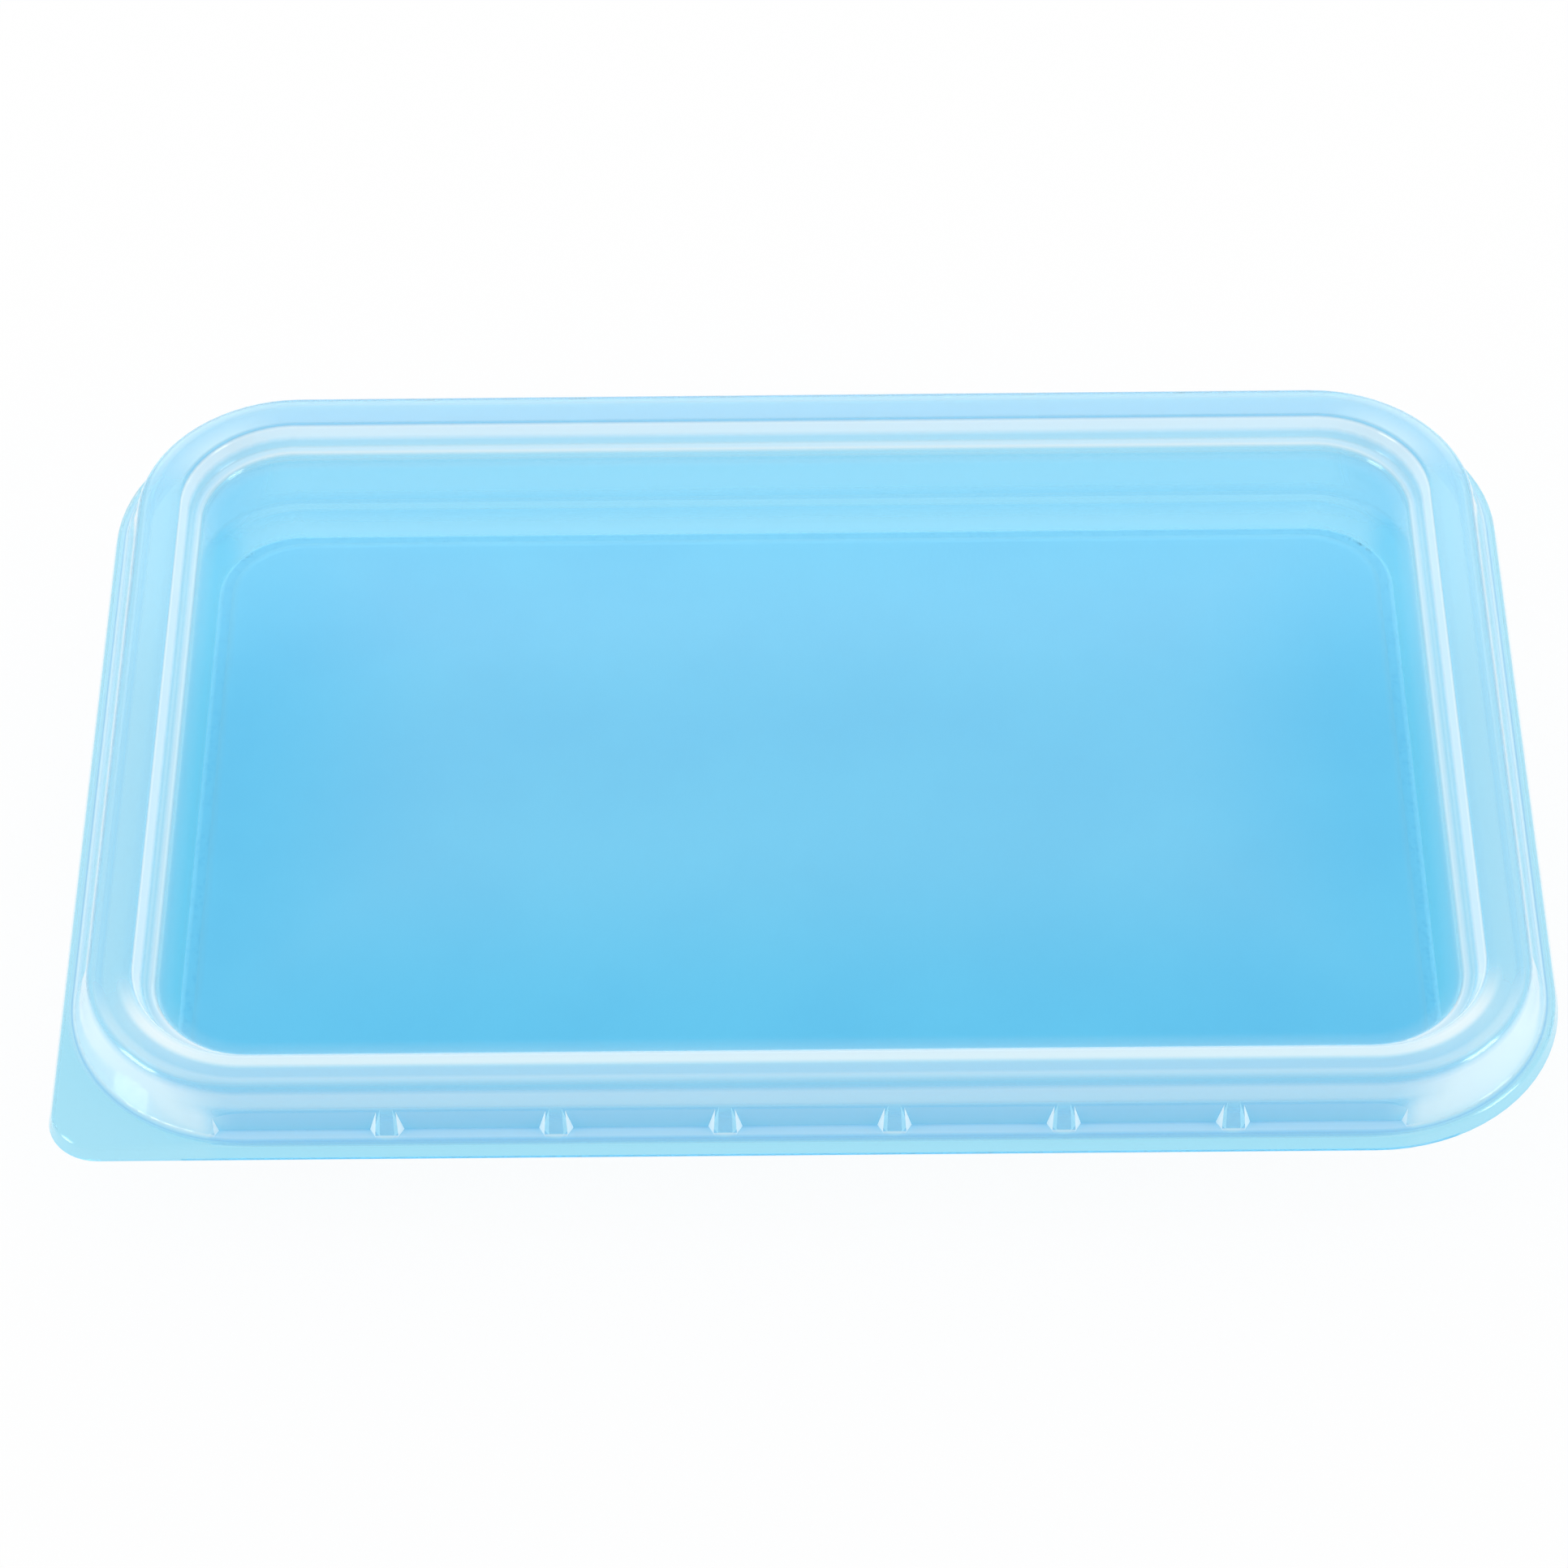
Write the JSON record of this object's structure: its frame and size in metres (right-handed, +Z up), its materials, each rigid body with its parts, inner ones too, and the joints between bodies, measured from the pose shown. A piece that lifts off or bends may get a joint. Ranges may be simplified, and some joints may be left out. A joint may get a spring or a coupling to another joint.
{
  "type": "wet palette",
  "caption": "Low clear blue case with a lift-off lid and a ribbed rim, holding a flat sponge and a sheet of palette paper that keep model paints moist.",
  "frame": {"origin": "on the table, under the middle of the closed case", "axes": "+X along the case's length, +Y to the back, away from the lift tab, +Z up"},
  "size_m": [0.25, 0.175, 0.03],
  "materials": {
    "lid_plastic": "gloss",
    "tray_plastic": "gloss",
    "sponge_foam": "matte",
    "palette_paper": "matte"
  },
  "bodies": {
    "tray_body": {"base_tray": "tray_plastic"},
    "sponge_body": {"sponge": "sponge_foam"},
    "paper_body": {"palette_paper": "palette_paper"},
    "lid_body": {"lid": "lid_plastic"}
  },
  "joints": [
    {"name": "lid_lift", "type": "slide", "parent": "tray_body", "child": "lid_body", "axis": [0, 0, 1], "range_m": [0, 0.06]},
    {"name": "sponge_lift", "type": "slide", "parent": "tray_body", "child": "sponge_body", "axis": [0, 0, 1], "range_m": [0, 0.008]},
    {"name": "paper_lift", "type": "slide", "parent": "sponge_body", "child": "paper_body", "axis": [0, 0, 1], "range_m": [0, 0.008]}
  ]
}
